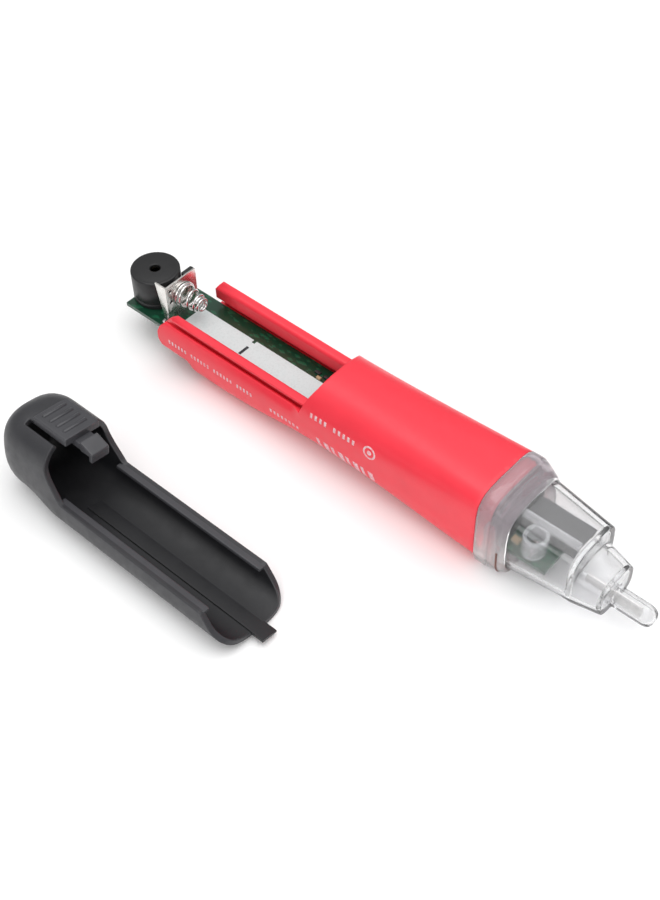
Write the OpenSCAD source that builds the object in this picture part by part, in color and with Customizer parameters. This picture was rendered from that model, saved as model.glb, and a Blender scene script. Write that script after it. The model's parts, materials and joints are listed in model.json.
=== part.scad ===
// Non contact voltage tester with its battery cover off.
// The tester lies along X with the battery bay up and the probe tongue towards +X. The loose
// cover lies beside it on the -Y side, upside down and rolled a little on its round back.
// Lengths along the tester are measured from the rear edge of its circuit board.

/* [Barrel] */
// Half width of the barrel at its widest
barrel_half_w = 10.2; // [9.8:0.1:11]
// Height of the barrel's crown at the battery end
barrel_h = 21.6; // [21.2:0.1:22.4]
// Height of the crown where the barrel meets the clear collar
nose_end_h = 22.4; // [22:0.1:23]
// How far the belly rises off the table in the middle
waist_rise = 2.8; // [0:0.1:3]
// Wall of the barrel
wall = 1.5; // [1.2:0.1:1.6]
// Rear end of the side panels
panel_rear_x = 14; // [13.6:0.1:14.4]
// Rear end of the far rail, which is shorter than the near one
far_rail_x = 17.4; // [16:0.1:18]
// Rear end of the belly below the side panels
belly_rear_x = 25.8; // [25:0.1:26.5]
// Rear end of the closed part of the barrel
shell_rear_x = 61.5; // [60:0.5:63]
// How far the barrel's mouth leans back from its crown to its sides
mouth_lean = 3.1; // [0:0.1:3.2]
// Rear face of the clear collar
collar_x = 108; // [107:0.5:109]

/* [Battery bay] */
// Half of the gap between the two rails
bay_half_w = 6.3; // [6:0.1:6.5]
// Top of the rails
rail_top_z = 15.5; // [15.3:0.1:15.8]
// Half width over the rails, where the cover slides
rail_half_w = 8.8; // [8.7:0.05:8.85]
// Bottom of the cover groove
groove_z = 13.7; // [13.5:0.1:13.8]
// Height of the cover groove
groove_h = 1; // [1:0.05:1.1]
// Depth of the cover groove
groove_depth = 1.7; // [1.5:0.1:1.8]

/* [Circuit board] */
// Top of the circuit board
board_z = 9.2; // [9:0.1:9.4]
// Thickness of the circuit board
board_t = 1; // [0.8:0.1:1.2]
// Half width of the circuit board
board_half_w = 7.4; // [7.2:0.1:7.5]
// Length of the circuit board
board_len = 124; // [120:1:125]
// Length of the two silkscreen blocks, rear one first
silk_len = 17; // [14:0.5:18]
// Half width of the silkscreen blocks
silk_half_w = 3.2; // [2.5:0.1:5]

/* [Buzzer] */
// Radius of the buzzer
buzzer_r = 6; // [5.5:0.1:6]
// Height of the buzzer above the board
buzzer_h = 8.2; // [7.5:0.1:8.4]
// Middle of the buzzer
buzzer_x = 3.6; // [3.4:0.1:3.8]
// Radius of its sound hole
sound_hole_r = 1.25; // [0.8:0.05:1.5]

/* [Battery contacts] */
// Front face of the spring bracket
bracket_x = 12.8; // [12.6:0.1:12.9]
// Thickness of the contact metal
contact_t = 0.4; // [0.3:0.05:0.5]
// Height of the spring bracket above the board
bracket_h = 10.2; // [9.5:0.1:10.4]
// Wire of the battery spring
spring_wire = 0.7; // [0.6:0.05:0.8]
// Free length of the battery spring
spring_len = 6; // [5:0.5:6.5]
// Radius of the spring's wide end
spring_r = 3; // [2.8:0.1:3.2]
// Rear face of the front battery contact
front_contact_x = 106; // [105.5:0.1:106.2]

/* [Clear tip] */
// Wall of the clear parts
lens_wall = 1.3; // [1.2:0.1:1.4]
// Front end of the straight band of the collar
collar_band_x = 111.5; // [111:0.1:112]
// Front end of the collar
collar_front_x = 115.5; // [115:0.1:116]
// Step from the cone to the nose block
cone_front_x = 130.5; // [130:0.5:131]
// Front of the nose block
nose_front_x = 137; // [136:0.5:138]
// End of the probe tongue
tongue_tip_x = 146.4; // [145:0.2:149]
// Half thickness of the probe tongue
tongue_half_w = 1.7; // [1.6:0.1:1.8]
// Bottom and top of the probe tongue
tongue_z = [2.8, 7.9];

/* [Cover] */
// How far the loose cover lies from the tester, middle to middle
cover_gap_y = 50.1; // [46:0.2:56]
// How far forward the loose cover lies from its fitted place
cover_shift_x = 23.9; // [20:0.2:26]
// How far the loose cover is rolled towards the tester, in degrees
cover_roll = 8.4; // [0:0.2:9]
// Rear end of the fitted cover
cover_rear_x = -9.4; // [-10:0.1:-9]
// Mouth of the closed cup at the rims of the fitted cover
cup_mouth_x = 11.9; // [11.6:0.1:12.2]
// Mouth of the closed cup at its belly
belly_mouth_x = 6.8; // [6.4:0.1:7.4]
// Wall of the cover
cover_wall = 1.4; // [1.2:0.1:1.5]
// Half width of the closed cup
cup_half_w = 9.4; // [9.3:0.05:9.6]
// Half width of the open trough of the cover
trough_half_w = 9.9; // [9.85:0.05:10]
// Length over which the side walls run out at the front
wall_end_len = 7.2; // [6:0.2:7.4]
// Width of the front tab
tab_w = 4.2; // [3.6:0.1:5]
// Length of the front tab
tab_len = 3.3; // [2.5:0.1:3.5]
// Half width of the latch flap
flap_half_w = 4.7; // [4.4:0.1:4.8]
// Length of the latch flap
flap_len = 10.4; // [10:0.1:10.6]
// Width of the slits beside the latch flap
slit_w = 1.3; // [0.8:0.05:1.4]

/* [Hidden] */

$fn = 48;
ring_points = 56;
eps = 0.01;
gap = 0.15;
board_under_z = board_z - board_t;
silk_t = 0.08;
silk_start_x = 15.4;
silk_break = 0.2;
cell_z = board_z + 5.3;
lens_zc = 10.5;
bore_r = 0.9;
screw_r = 0.85;
screw_places = [[68, -5.3], [100, 5.3]];
shelf_z = 13;
led_x = 119;
led_y = -3.7;
lead_ys = [led_y - 0.7, led_y + 0.7];
divider_y = -1.2;
pin_y = 2.5;
// How much higher the rolled cover lies than it would unrolled
roll_lift = 0.3;

// The row's origin: the middle of its box, on the table.
mid_x = 72;
mid_y = -25.23;

module place() translate([-mid_x, -mid_y, 0]) children();

// Turns the fitted cover over and lays it beside the tester.
module laid_beside()
    translate([cover_shift_x, -cover_gap_y, barrel_h / 2 + roll_lift])
        rotate([180 - cover_roll, 0, 0]) translate([0, 0, -barrel_h / 2]) children();

// Rounded section in the YZ plane: half width w, widest at height zc, from zb up to zt. The
// exponents n_up and n_dn run from 2 (an ellipse) to 5 and more (nearly square).
function signed_pow(v, e) = sign(v) * pow(abs(v), e);
function section(x, w, zb, zt, zc, n_up, n_dn) = [
    for (i = [0 : ring_points - 1])
        let (a = 360 * i / ring_points, s = sin(a), n = s >= 0 ? n_up : n_dn,
             h = s >= 0 ? zt - zc : zc - zb)
        [x, w * signed_pow(cos(a), 2 / n), zc + h * signed_pow(s, 2 / n)]
];

// Even steps from x0 to x1.
function steps(x0, x1, count) = [for (k = [0 : count]) x0 + (x1 - x0) * k / count];

// Solid skinned over a list of sections that run towards +X.
module loft(sections) {
    last = len(sections) - 1;
    count = ring_points;
    skin = [
        for (k = [0 : last - 1], i = [0 : count - 1])
            let (j = (i + 1) % count, a = k * count, b = a + count)
            each [[a + i, b + i, b + j], [a + i, b + j, a + j]]
    ];
    rear_cap = [for (i = [0 : count - 1]) i];
    front_cap = [for (i = [count - 1 : -1 : 0]) last * count + i];
    polyhedron([for (s = sections) each s], concat([rear_cap, front_cap], skin), convexity = 6);
}

// Box from one corner to the other.
module block(low, high) translate(low) cube(high - low);

// Box with rounded long edges that runs along X.
module rounded_bar(x0, x1, y0, y1, z0, z1, r) {
    block([x0, y0 + r, z0], [x1, y1 - r, z1]);
    block([x0, y0, z0 + r], [x1, y1, z1 - r]);
    for (y = [y0 + r, y1 - r], z = [z0 + r, z1 - r])
        translate([x0, y, z]) rotate([0, 90, 0]) cylinder(h = x1 - x0, r = r);
}

// Both sides of the tester.
module both_sides() for (s = [0, 1]) mirror([0, s, 0]) children();

// ---- barrel ----

function clamp01(v) = max(0, min(1, v));
function belly(x) = waist_rise * pow(sin(180 * clamp01((x - 30) / 82)), 2);
function along_shell(x) = clamp01((x - shell_rear_x) / (collar_x - shell_rear_x));

// Section of the closed barrel, shrunk by t on every side.
function shell_section(x, t) = let (u = along_shell(x))
    section(x, barrel_half_w - t, belly(x) + 0.25 * u + t,
            barrel_h + u * (nose_end_h - barrel_h) - t, 12.2, 2.5 + 1.8 * u * u, 3 + 0.6 * u);

// Section of the side panels and the belly under the battery bay.
function cradle_section(x, t) =
    section(x, barrel_half_w - t, belly(x) + t, 16.9 - t, 9.2, 2.6, 3);

// Cuts the rear end of the side panels to its sloping shape.
module panel_end_cut() {
    slope = [[panel_rear_x - 1, -1], [belly_rear_x, -1], [belly_rear_x - 0.6, 2.4],
             [belly_rear_x - 1.4, 4.8], [belly_rear_x - 2.4, 6.3], [panel_rear_x + 1.2, 6.5],
             [panel_rear_x + 0.2, 7.4], [panel_rear_x, 8.8], [panel_rear_x + 0.1, 10.6],
             [panel_rear_x + 0.7, 12.2], [panel_rear_x + 2, 13.6], [panel_rear_x + 3.6, 14.5],
             [panel_rear_x + 4.7, rail_top_z + 0.2], [panel_rear_x - 1, rail_top_z + 1]];
    translate([0, 15, 0]) rotate([90, 0, 0]) linear_extrude(30) polygon(slope);
    block([panel_rear_x - 1, 0.5, 6.5], [far_rail_x, 15, rail_top_z + 1]);
}

module rails() {
    neck_half_w = rail_half_w - groove_depth;
    both_sides() {
        block([panel_rear_x, bay_half_w, board_z + 1],
              [shell_rear_x + eps, neck_half_w, rail_top_z - 1]);
        rounded_bar(panel_rear_x, shell_rear_x + eps, bay_half_w, rail_half_w,
                    groove_z + groove_h, rail_top_z, 0.38);
    }
}

// Tongue under the board, with a window that catches the hook of the cover's latch.
module latch_striker() difference() {
    union() {
        block([striker_x, -striker_half_w, striker_z],
              [belly_rear_x + 1.5, striker_half_w, striker_z + 1.2]);
        block([belly_rear_x - 0.5, -striker_half_w, 0.8],
              [belly_rear_x + 1.5, striker_half_w, striker_z + 1.2]);
    }
    block([striker_x + 1.2, -striker_half_w + 0.6, 0], [striker_x + 2.9, striker_half_w - 0.6, 9]);
}

// Post under the board with a bore for its screw.
module screw_posts() for (p = screw_places)
    translate([p[0], p[1], 3]) cylinder(h = board_under_z - 3, r = 1.9);

// The rear end of the closed barrel leans back from the crown to the rails.
mouth_low_x = shell_rear_x + 0.9 - mouth_lean;
module mouth_cut() translate([0, 15, 0]) rotate([90, 0, 0]) linear_extrude(30)
    polygon([[mouth_low_x - 2, groove_z], [mouth_low_x, groove_z],
             [shell_rear_x + 0.9, barrel_h + 0.1], [shell_rear_x + 0.9, barrel_h + 3],
             [mouth_low_x - 2, barrel_h + 3]]);

module body_shell() color([0.95, 0.12, 0.16]) place() difference() {
    union() {
        difference() {
            union() {
                difference() {
                    loft([for (x = steps(mouth_low_x - 0.1, collar_x, 9)) shell_section(x, 0)]);
                    mouth_cut();
                }
                // spigot that the collar slips over
                loft([for (x = [collar_x - 1, collar_band_x - 0.6]) slid(x, wall)]);
                intersection() {
                    loft([for (x = steps(panel_rear_x, shell_rear_x + 0.5, 9)) cradle_section(x, 0)]);
                    block([panel_rear_x - 1, -15, -1], [shell_rear_x + 1, 15, groove_z]);
                }
                rails();
            }
            // hollow of the closed barrel
            loft([for (x = steps(mouth_low_x - 0.6, collar_x + 5, 9))
                  shell_section(x, x > collar_x - 1.5 ? wall + 1 : wall)]);
            // hollow under the board
            intersection() {
                loft([for (x = steps(panel_rear_x - 2, shell_rear_x, 8)) cradle_section(x, wall)]);
                block([panel_rear_x - 2, -15, -1], [shell_rear_x, 15, board_z + 1]);
            }
            block([panel_rear_x - 2, -bay_half_w, board_under_z - 1], [shell_rear_x, bay_half_w, 30]);
            panel_end_cut();
        }
        screw_posts();
        latch_striker();
    }
    for (p = screw_places) translate([p[0], p[1], 3.6]) cylinder(h = 9, r = bore_r);
    // recess under the crown for the cover's tab
    block([shell_rear_x - 1, -tab_w / 2 - gap, 16],
          [shell_rear_x + tab_len + 0.4, tab_w / 2 + gap, tab_top_z + gap]);
}

// ---- clear tip ----

function collar_section(x, t) =
    let (u = clamp01((x - collar_band_x) / (collar_front_x - collar_band_x)))
    section(x, barrel_half_w + 0.1 - 0.6 * u - t, 0.2 * u + t, 22.7 - 2.7 * u - t, 11.2, 4.3, 4.6);

module collar_ring() color([0.75, 0.72, 0.73, 0.5]) place() difference() {
    loft([for (x = [collar_x + 0.05, collar_band_x, collar_front_x]) collar_section(x, 0)]);
    loft([for (x = [collar_x - 1, collar_band_x]) slid(x, wall - gap)]);
    loft([for (x = [collar_band_x - eps, collar_front_x + 0.2]) cone_section(x, -0.05)]);
}

// Thin ring squeezed between the barrel's spigot and the cone.
module seal_ring() color([0.3, 0.22, 0.2]) place() difference() {
    loft([for (x = [collar_band_x - 0.55, collar_band_x - 0.05]) slid(x, wall)]);
    loft([for (x = [collar_band_x - 1, collar_band_x + 1]) slid(x, wall + 1)]);
}

// Section of the barrel's front end, cut at another place along X.
function slid(x, t) = [for (p = shell_section(collar_x, t)) [x, p[1], p[2]]];

function cone_section(x, t) =
    let (u = clamp01((x - collar_front_x) / (cone_front_x - collar_front_x)))
    section(x, 9 - 1.4 * u - t, 1.35 + 0.95 * u + t, 20.1 - 2.4 * u - t, lens_zc, 3.8, 3.2);
function nose_section(x, t) =
    let (u = clamp01((x - cone_front_x) / (nose_front_x - cone_front_x)))
    section(x, 7.3 - 1.5 * u - t, 2.3 + 0.2 * u + t, 13.4 - 1.8 * u - t, 7, 2.6, 3);

// Blade of the probe tongue with a round end, shrunk by t.
module tongue(x0, t) {
    mid_z = (tongue_z[0] + tongue_z[1]) / 2;
    r = (tongue_z[1] - tongue_z[0]) / 2;
    half = tongue_half_w - t;
    intersection() {
        rounded_bar(x0, tongue_tip_x - t, -half, half, tongue_z[0] + t, tongue_z[1] - t, half * 0.55);
        union() {
            block([x0, -5, tongue_z[0]], [tongue_tip_x - r, 5, tongue_z[1]]);
            translate([tongue_tip_x - r, 5, mid_z]) rotate([90, 0, 0]) cylinder(h = 10, r = r - t);
        }
    }
}

module tip_lens() color([0.8, 0.8, 0.82, 0.4]) place() difference() {
    union() {
        loft([for (x = [collar_band_x, collar_front_x, cone_front_x]) cone_section(x, 0)]);
        loft([for (x = [cone_front_x - 1, nose_front_x]) nose_section(x, 0)]);
        tongue(cone_front_x, 0);
    }
    loft([for (x = [collar_band_x - 1, collar_front_x, cone_front_x - lens_wall])
          cone_section(x, lens_wall)]);
    loft([for (x = [cone_front_x - lens_wall - 1, nose_front_x - lens_wall])
          nose_section(x, lens_wall)]);
    tongue(cone_front_x, 0.75);
}

module light_divider() color([0.36, 0.36, 0.38]) place() {
    // wall that shuts off the battery space, and the shelf over half of the board on two walls
    block([112.4, -6.8, board_z + 0.3], [113.2, 6.8, 17.4]);
    block([112.4, divider_y, 12.2], [127.5, 6, shelf_z]);
    for (y = [divider_y, 5.3]) block([113.2, y, board_z + 0.3], [127.5, y + 0.7, 12.2]);
}

// Clear bar along the edge of the shelf that carries the light forward, with a collar round
// the indicator.
module light_pipe() color([0.85, 0.85, 0.88, 0.5]) place() {
    rounded_bar(113.5, 127.5, divider_y - 0.4, divider_y + 1.2, shelf_z, shelf_z + 1.6, 0.4);
    difference() {
        translate([led_x, led_y, board_z + 0.3]) cylinder(h = 4.2, r = 2.7);
        translate([led_x, led_y, board_z]) cylinder(h = 6, r = 1.9);
        block([led_x - 4, divider_y - 0.05, board_z], [led_x + 4, 5, board_z + 6]);
    }
}

module sensor_plate() color([0.72, 0.5, 0.3]) place()
    block([129.6, -0.25, tongue_z[0] + 1.2], [tongue_tip_x - 3.2, 0.25, tongue_z[1] - 1.2]);

module sensor_lead() color([0.75, 0.76, 0.78]) place() {
    block([board_len - 3, -0.3, board_z], [board_len - 2.4, 0.3, board_z + 1]);
    block([board_len - 3, -0.3, board_z + 1], [128.4, 0.3, board_z + 1.5]);
    block([127.9, -0.3, 6], [128.4, 0.3, board_z + 1]);
    block([127.9, -0.3, 5.6], [129.6, 0.3, 6.2]);
}

module indicator_led() color([0.95, 0.85, 0.85, 0.7]) place() translate([led_x, led_y, board_z + 0.8]) {
    cylinder(h = 0.6, r = 1.2);
    cylinder(h = 1.1, r = 0.95);
}

module led_leads() color([0.75, 0.76, 0.78]) place()
    for (y = lead_ys)
        translate([led_x, y, board_under_z - 0.8]) cylinder(h = board_t + 1.6, r = 0.22);

// ---- circuit board and what is soldered to it ----

module circuit_board() color([0.08, 0.36, 0.2]) place() difference() {
    union() {
        block([0, -board_half_w, board_under_z], [collar_x - 1, board_half_w, board_z]);
        block([collar_x - 1, -6.6, board_under_z], [board_len, 6.6, board_z]);
    }
    translate([0, 0, board_under_z - 1]) {
        for (p = screw_places) translate(p) cylinder(h = board_t + 2, r = 1.15);
        for (y = lead_ys) translate([led_x, y]) cylinder(h = board_t + 2, r = 0.3);
        for (y = [-pin_y, pin_y]) translate([buzzer_x, y]) cylinder(h = board_t + 2, r = 0.4);
    }
}

module silk_block(x0, x1)
    block([x0, -silk_half_w, board_z], [x1, silk_half_w, board_z + silk_t]);

module silk_rear() color([0.93, 0.94, 0.96]) place()
    silk_block(silk_start_x, silk_start_x + silk_len);

module silk_front() color([0.93, 0.94, 0.96]) place() difference() {
    x = silk_start_x + silk_len + silk_break;
    silk_block(x, shell_rear_x + 4);
    block([x - 1, silk_half_w - 0.9, board_z - 1], [x + 1, silk_half_w + 1, board_z + 1]);
}

module polarity_mark() color([0.06, 0.07, 0.08]) place() {
    x = silk_start_x + silk_len + silk_break + 0.6;
    block([x - 0.35, -2.4, board_z + silk_t], [x + 0.35, 0.6, board_z + 2 * silk_t]);
}

module buzzer_case() color([0.2, 0.2, 0.21]) place() translate([buzzer_x, 0, board_z]) difference() {
    cylinder(h = buzzer_h, r = buzzer_r);
    translate([0, 0, -1]) cylinder(h = buzzer_h, r = buzzer_r - 0.8);
    translate([0, 0, buzzer_h - 2]) cylinder(h = 3, r = sound_hole_r);
}

module buzzer_base() color([0.12, 0.12, 0.13]) place()
    translate([buzzer_x, 0, board_z]) difference() {
        cylinder(h = 1.4, r = buzzer_r - 0.8);
        for (y = [-pin_y, pin_y]) translate([0, y, -1]) cylinder(h = 4, r = 0.35);
    }

module buzzer_disc() color([0.8, 0.68, 0.35]) place() translate([buzzer_x, 0, board_z + 4.6])
    cylinder(h = 0.3, r = buzzer_r - 0.8);

module buzzer_pins() color([0.75, 0.76, 0.78]) place()
    for (y = [-pin_y, pin_y])
        translate([buzzer_x, y, board_under_z - 1]) cylinder(h = board_t + 3, r = 0.3);

// Bent sheet that carries the battery spring: a front plate, a side flange and a foot.
module spring_bracket() color([0.8, 0.79, 0.77]) place() difference() {
    union() {
        block([bracket_x - contact_t, -5.2, board_z], [bracket_x, 4.6, board_z + bracket_h]);
        translate([0, -5.2 + contact_t, 0]) rotate([90, 0, 0]) linear_extrude(contact_t)
            polygon([[bracket_x, board_z], [bracket_x, board_z + bracket_h],
                     [bracket_x - 3.6, board_z + bracket_h], [bracket_x - 1.6, board_z]]);
        block([bracket_x - 2, 2.2, board_z], [bracket_x, 4.6, board_z + contact_t]);
    }
    for (z = [5.2, 8.4]) translate([bracket_x - 1, -3.8, board_z + z]) rotate([0, 90, 0])
        cylinder(h = 2, r = 0.55);
}

// Conical coil, its wide end on the bracket and its narrow end towards the cell.
function coil_point(t) = let (a = 360 * 4.25 * t, r = spring_r - 1.5 * t)
    [bracket_x + spring_wire / 2 + 0.05 + (spring_len - spring_wire) * t, r * cos(a),
     cell_z + r * sin(a)];
function unit(v) = v / norm(v);
module coil(count, sides) {
    pts = [for (k = [0 : count]) coil_point(k / count)];
    rings = [for (k = [0 : count])
        let (d = unit(pts[min(k + 1, count)] - pts[max(k - 1, 0)]),
             u = unit(cross(d, [1, 0, 0])), v = cross(d, u), r = spring_wire / 2)
        [for (i = [0 : sides - 1])
            let (a = 360 * i / sides) pts[k] + r * (u * cos(a) + v * sin(a))]];
    skin = [for (k = [0 : count - 1], i = [0 : sides - 1])
        let (j = (i + 1) % sides, a = k * sides, b = a + sides)
        each [[a + i, b + j, b + i], [a + i, a + j, b + j]]];
    caps = [[for (i = [sides - 1 : -1 : 0]) i], [for (i = [0 : sides - 1]) count * sides + i]];
    polyhedron([for (r = rings) each r], concat(caps, skin), convexity = 10);
}
module battery_spring() color([0.78, 0.79, 0.8]) place() coil(72, 8);

// Flat last turn of the coil, which presses on the cell.
module spring_cap() color([0.8, 0.81, 0.82]) place()
    translate([bracket_x + spring_len + 0.1, 0, cell_z]) rotate([0, 90, 0]) difference() {
        cylinder(h = spring_wire, r = 1.9);
        translate([0, 0, -1]) cylinder(h = 3, r = 1);
    }

module front_contact() color([0.8, 0.79, 0.77]) place() {
    block([front_contact_x, -4, board_z], [front_contact_x + contact_t, 4, board_z + 9]);
    translate([front_contact_x - 0.5, 0, cell_z]) rotate([0, 90, 0]) cylinder(h = 0.6, r = 1.6);
    block([front_contact_x, -2, board_z], [front_contact_x + 2.5, 2, board_z + contact_t]);
}

module control_chip() color([0.1, 0.1, 0.11]) place() {
    block([88, -2, board_under_z - 1.6], [93, 2, board_under_z - 0.15]);
    for (x = [88.4 : 1.27 : 92.6]) both_sides()
        block([x, 2, board_under_z - 0.8], [x + 0.45, 3, board_under_z]);
}

module rear_transistor() color([0.11, 0.13, 0.12]) place()
    translate([8.8, 5.6, board_z]) difference() {
        cylinder(h = 6.6, r = 1.7);
        block([-3, -3, -1], [-0.7, 3, 9]);
    }

module smd(x, y, z, size) translate([x, y, z]) cube(size, center = true);

resistor_size = [1.6, 0.8, 0.5];
capacitor_size = [2, 1.2, 0.8];
small_capacitor_size = [1.2, 0.7, 0.7];

module smd_resistors() color([0.1, 0.1, 0.1]) place() {
    for (x = [51.4, 54.2]) smd(x, 4.9, board_z + 0.25, resistor_size);
    for (x = [26 : 6 : 50], y = [-3, 3]) smd(x, y, board_under_z - 0.25, resistor_size);
}

module smd_capacitors() color([0.8, 0.72, 0.55]) place() {
    smd(52.8, 3.6, board_z + 0.35, small_capacitor_size);
    for (x = [76, 80, 84, 97], y = [-2.5, 2.5]) smd(x, y, board_under_z - 0.4, capacitor_size);
    for (y = [-4.2, 4.2]) smd(114.8, y, board_z + 0.4, capacitor_size);
}

module solder_joints() color([0.7, 0.71, 0.72]) place() {
    for (y = [-5.9, 5.2]) translate([bracket_x - 1, y, board_z]) cylinder(h = 0.5, r1 = 0.6, r2 = 0.3);
    for (y = [-5.4, 5.4]) translate([front_contact_x + 1, y, board_z]) cylinder(h = 0.7, r1 = 1, r2 = 0.5);
}

// Screws that hold the board on the posts in the barrel.
module board_screws() color([0.6, 0.61, 0.63]) place()
    for (p = screw_places) translate([p[0], p[1], 0]) {
        translate([0, 0, board_under_z - 3.4]) cylinder(h = 3.6 + board_t, r = screw_r);
        translate([0, 0, board_z]) cylinder(h = 0.5, r = 1.6);
    }

// ---- cover, drawn where it fits on the tester ----

// Section of the closed cup, shrunk by t. Its rear end is rounded over the first stretch.
rear_round = 6.5;
function cup_section(x, t) =
    let (u = clamp01((x - cover_rear_x) / rear_round), k = 1 - sqrt(1 - pow(1 - u, 2)))
    section(x, cup_half_w - 3.6 * k - t, belly_z + 4 * k + t, barrel_h - 4.6 * k - t, 11, 2.8, 2.65);

// Section of the trough over the battery bay, shrunk by t: the crown of the barrel, cut off
// at the rim.
function trough_section(x, t) = section(x, trough_half_w - t, 8 + t, barrel_h - t, 16, 2.7, 2.7);

belly_z = 1.1;
rim_z = groove_z + 0.1;
rib_t = 0.8;
front_x = shell_rear_x - 0.1;
tab_low_z = barrel_h - 1.75;
tab_top_z = barrel_h - 0.85;
flap_root_x = 9 - flap_len;
flap_front_x = 9;
flap_z = [0.35, 2.3];
hook_half_w = 2.7;
hook_x = [10.7, 15];
hook_top_z = 3.5;
striker_x = 12.2;
striker_z = 3.9;
striker_half_w = 3.5;

// Outline of the cover seen from the side: closed cup, open trough, and at the front a slope
// in which the walls run out. The crown stays whole.
module cover_side_cut() translate([0, 15, 0]) rotate([90, 0, 0]) linear_extrude(30) {
    polygon([[belly_mouth_x, -1], [belly_mouth_x, 7.5], [belly_mouth_x + 1.3, 9.8],
             [cup_mouth_x - 2.3, 11.4], [cup_mouth_x, rim_z], [front_x - wall_end_len, rim_z],
             [front_x - 2.1, barrel_h - 2.4], [front_x - 0.3, barrel_h - 0.8],
             [front_x + 5, barrel_h - 0.8], [front_x + 5, -1]]);
}

// Space for the latch flap, and its slits, which run on a little past its root.
module flap_opening() {
    block([flap_root_x - 0.25, -flap_half_w - slit_w, -1],
          [cup_mouth_x + 9, flap_half_w + slit_w, 5]);
    both_sides() block([flap_root_x - 1.2, flap_half_w, -1], [flap_root_x, flap_half_w + slit_w, 5]);
}

cup_xs = [for (k = [0 : 6]) cover_rear_x + rear_round * (1 - cos(15 * k))];
inner_cup_xs = [for (x = cup_xs) x + cover_wall];

module cover_shell() color([0.26, 0.26, 0.27]) place() laid_beside() {
    difference() {
        union() {
            loft([for (x = concat(cup_xs, [cup_mouth_x + 2])) cup_section(x, 0)]);
            loft([for (x = [cover_rear_x + 8, front_x]) trough_section(x, 0)]);
        }
        difference() {
            loft([for (x = concat(inner_cup_xs, [cup_mouth_x + 4]))
                  cup_section(x - (x < belly_mouth_x ? cover_wall : 0), cover_wall)]);
            guide_ribs();
        }
        difference() {
            loft([for (x = [cover_rear_x + 9, front_x + 1]) trough_section(x, cover_wall)]);
            guide_ribs();
        }
        // channels for the heads of the rails
        both_sides() block([cup_mouth_x, 5, rim_z + rib_t], [front_x + 1, rail_half_w + 0.1, 15.7]);
        cover_side_cut();
        flap_opening();
    }
    // strip along the crown that ends in the tab under the edge of the barrel
    block([cup_mouth_x, -tab_w / 2, tab_low_z], [front_x + tab_len, tab_w / 2, tab_top_z]);
}

// Ribs along both rims that slide in the grooves beside the rails.
module guide_ribs() both_sides()
    block([cup_mouth_x - 1, rail_half_w - groove_depth + 0.2, rim_z - 1],
          [front_x, 15, rim_z + rib_t]);

// Springy flap in the cup's belly, with grip ribs, and a hook that catches the striker.
module latch_flap() color([0.24, 0.24, 0.25]) place() laid_beside() {
    rounded_bar(flap_root_x, flap_front_x, -flap_half_w, flap_half_w, flap_z[0], flap_z[1], 0.6);
    for (k = [0 : 2])
        rounded_bar_across(flap_root_x + 2.6 + 2.2 * k, flap_half_w - 1.6, flap_z[0], 0.35);
    block([flap_front_x - 1.2, -hook_half_w, flap_z[1] - 0.4],
          [hook_x[0] + 1, hook_half_w, hook_top_z]);
    ramp = [[hook_x[0], 0.9], [hook_x[1], 2.5], [hook_x[1], hook_top_z], [hook_x[0], hook_top_z]];
    translate([0, hook_half_w, 0]) rotate([90, 0, 0]) linear_extrude(2 * hook_half_w) polygon(ramp);
    block([hook_x[1] - 1.3, -hook_half_w, hook_top_z - 0.5],
          [hook_x[1] - 0.2, hook_half_w, striker_z + 0.9]);
}

// Round rib of radius r across the flap, half sunk in its outer face.
module rounded_bar_across(x, half, z, r)
    translate([x, half, z + 0.1]) rotate([90, 0, 0]) cylinder(h = 2 * half, r = r);

body_shell();
collar_ring();
seal_ring();
tip_lens();
circuit_board();
silk_rear();
silk_front();
polarity_mark();
buzzer_case();
buzzer_base();
buzzer_disc();
buzzer_pins();
spring_bracket();
battery_spring();
spring_cap();
front_contact();
indicator_led();
led_leads();
light_divider();
light_pipe();
sensor_plate();
sensor_lead();
control_chip();
rear_transistor();
smd_resistors();
smd_capacitors();
solder_joints();
board_screws();
cover_shell();
latch_flap();
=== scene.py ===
"""Looks of a non contact voltage tester with its battery cover lying beside it."""

import json
import math

import bmesh
import bpy
import numpy as np
from mathutils import Matrix, Vector


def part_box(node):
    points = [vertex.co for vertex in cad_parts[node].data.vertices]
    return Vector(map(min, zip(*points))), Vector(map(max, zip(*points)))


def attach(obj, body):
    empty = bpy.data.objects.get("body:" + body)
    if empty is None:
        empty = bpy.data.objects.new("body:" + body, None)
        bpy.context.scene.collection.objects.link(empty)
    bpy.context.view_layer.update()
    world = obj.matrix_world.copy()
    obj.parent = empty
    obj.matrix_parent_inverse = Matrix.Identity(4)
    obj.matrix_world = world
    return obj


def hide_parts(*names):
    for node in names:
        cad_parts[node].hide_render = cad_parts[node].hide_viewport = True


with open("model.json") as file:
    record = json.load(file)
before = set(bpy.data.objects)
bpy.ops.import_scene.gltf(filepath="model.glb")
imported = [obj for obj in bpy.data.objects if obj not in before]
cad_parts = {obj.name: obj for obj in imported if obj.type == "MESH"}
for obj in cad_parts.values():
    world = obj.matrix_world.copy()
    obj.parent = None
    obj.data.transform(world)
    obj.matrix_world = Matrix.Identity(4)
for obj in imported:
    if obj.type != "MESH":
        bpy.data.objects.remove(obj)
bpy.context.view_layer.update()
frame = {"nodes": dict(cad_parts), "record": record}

# ---- places ----
# Lengths in the builders below are millimetres in the tester's own frame: x from the rear
# edge of the circuit board, y from the middle plane, z from the table.

MM = 0.001
board_low, board_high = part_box("circuit_board")
ORIGIN = Vector((board_low.x, (board_low.y + board_high.y) / 2, 0))

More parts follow.
